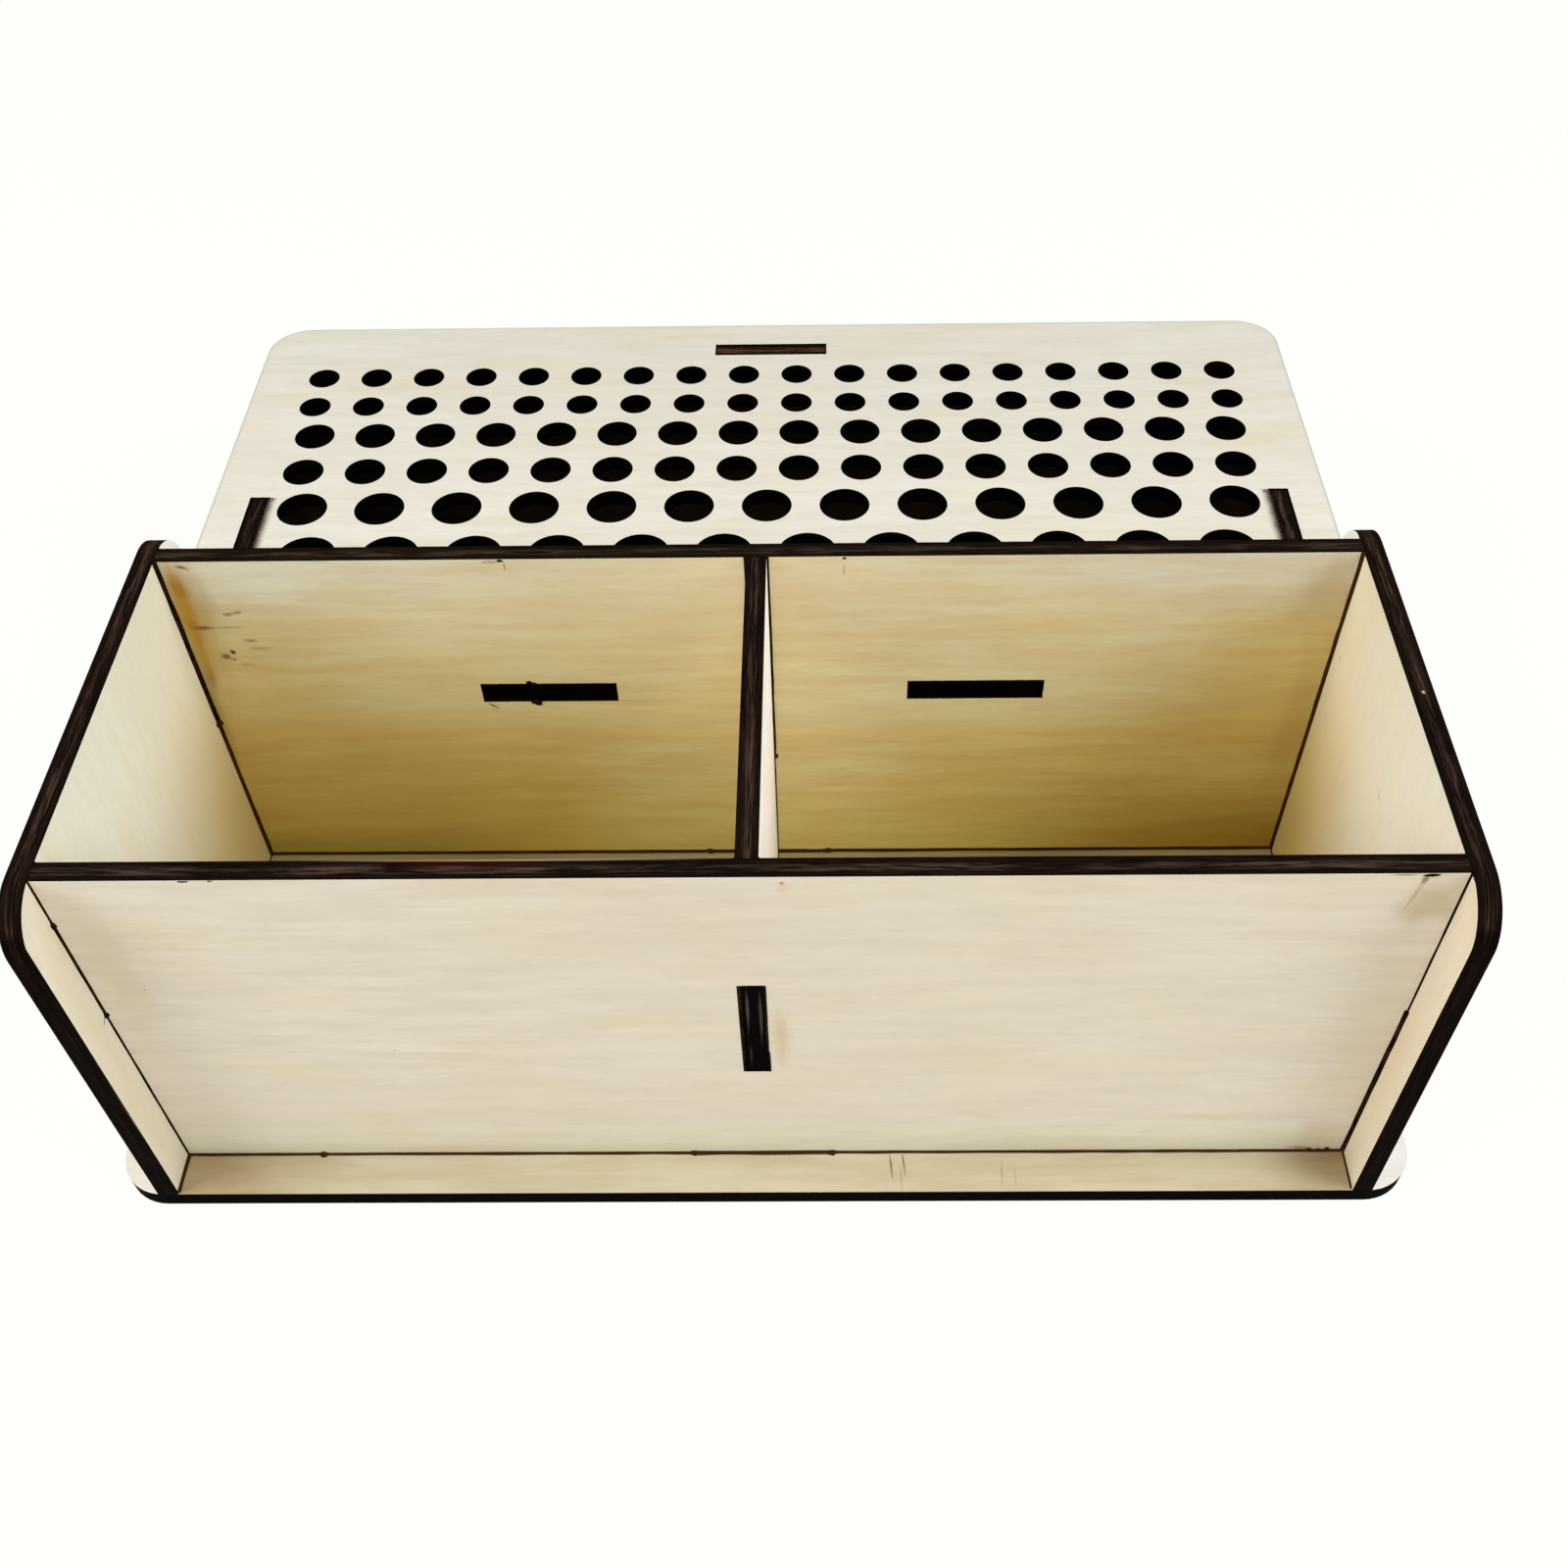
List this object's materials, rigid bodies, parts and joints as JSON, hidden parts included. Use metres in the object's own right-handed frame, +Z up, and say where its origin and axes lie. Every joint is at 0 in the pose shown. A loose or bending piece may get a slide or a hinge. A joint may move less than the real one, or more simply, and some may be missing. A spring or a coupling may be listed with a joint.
{
  "type": "router bit storage box",
  "caption": "Plywood tab-and-slot box with two open bins in front and a raised perforated plate behind that holds router bits upright by their shanks.",
  "frame": {"origin": "centre of the footprint, on the underside of the base", "axes": "+X along the width, to the right seen from the front; +Y from the bins to the rack; +Z up"},
  "size_m": [0.262, 0.221, 0.095],
  "materials": {
    "plywood_base": "raw laser-cut plywood with burnt edges",
    "plywood_side": "raw laser-cut plywood with burnt edges",
    "plywood_front": "raw laser-cut plywood with burnt edges",
    "plywood_wall": "raw laser-cut plywood with burnt edges",
    "plywood_rack": "raw laser-cut plywood with burnt edges"
  },
  "bodies": {
    "root": {"base_plate": "plywood_base", "left_side_panel": "plywood_side", "right_side_panel": "plywood_side", "front_panel": "plywood_front", "bin_back_wall": "plywood_wall", "bin_divider": "plywood_front", "rack_plate": "plywood_rack", "rack_rear_panel": "plywood_side"}
  },
  "joints": []
}
